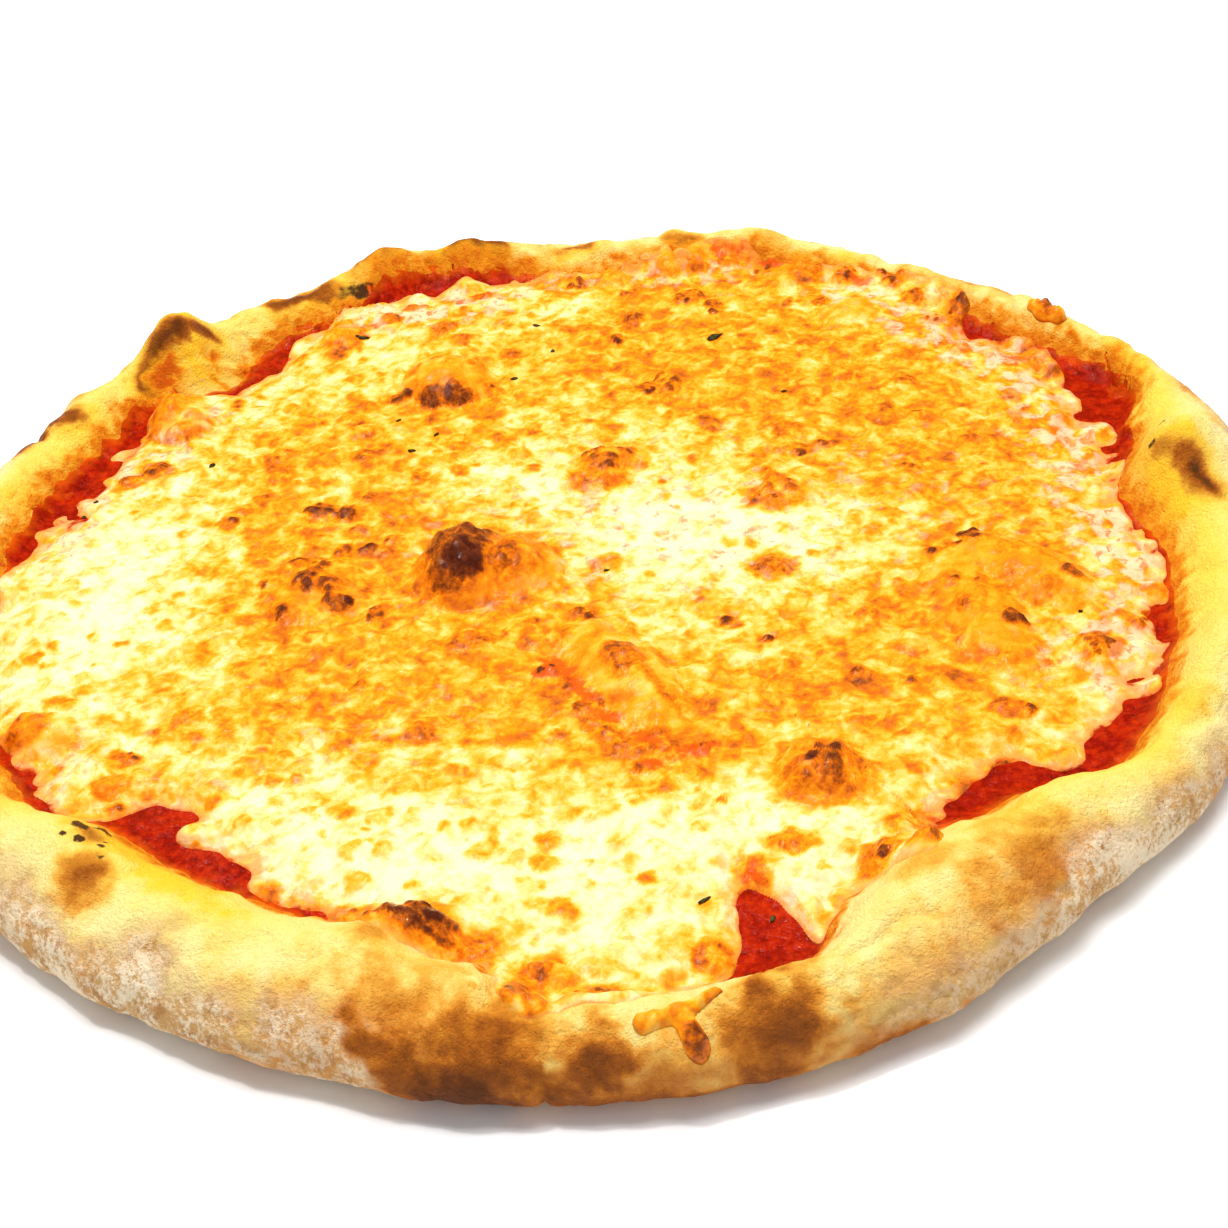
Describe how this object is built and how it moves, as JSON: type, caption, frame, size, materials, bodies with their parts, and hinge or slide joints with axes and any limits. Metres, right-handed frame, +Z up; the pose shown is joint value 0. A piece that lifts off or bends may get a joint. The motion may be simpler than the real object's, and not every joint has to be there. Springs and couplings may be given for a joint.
{
  "type": "cheese pizza",
  "caption": "Whole round cheese pizza, hand-stretched, with a thick uneven browned rim, tomato sauce showing at the edge, and blistered toasted melted cheese.",
  "frame": {"origin": "middle of the flat underside of the crust, on the surface that the pizza lies on", "axes": "+Z up out of the pizza's top; -Y towards the side with the widest and deepest-browned rim, the side nearest to the viewer in the picture; +X to that viewer's right"},
  "size_m": [0.335, 0.3226, 0.0244],
  "materials": {
    "crust": "baked dough, dusted with flour on the outside",
    "sauce": "wet tomato sauce",
    "cheese": "melted cheese, oily, toasted in places",
    "toasted_cheese": "browned cheese"
  },
  "bodies": {
    "root": {"crust": "crust", "sauce": "sauce", "cheese": "cheese", "cheese_on_front_rim": "toasted_cheese", "cheese_on_back_rim": "toasted_cheese"}
  },
  "joints": []
}
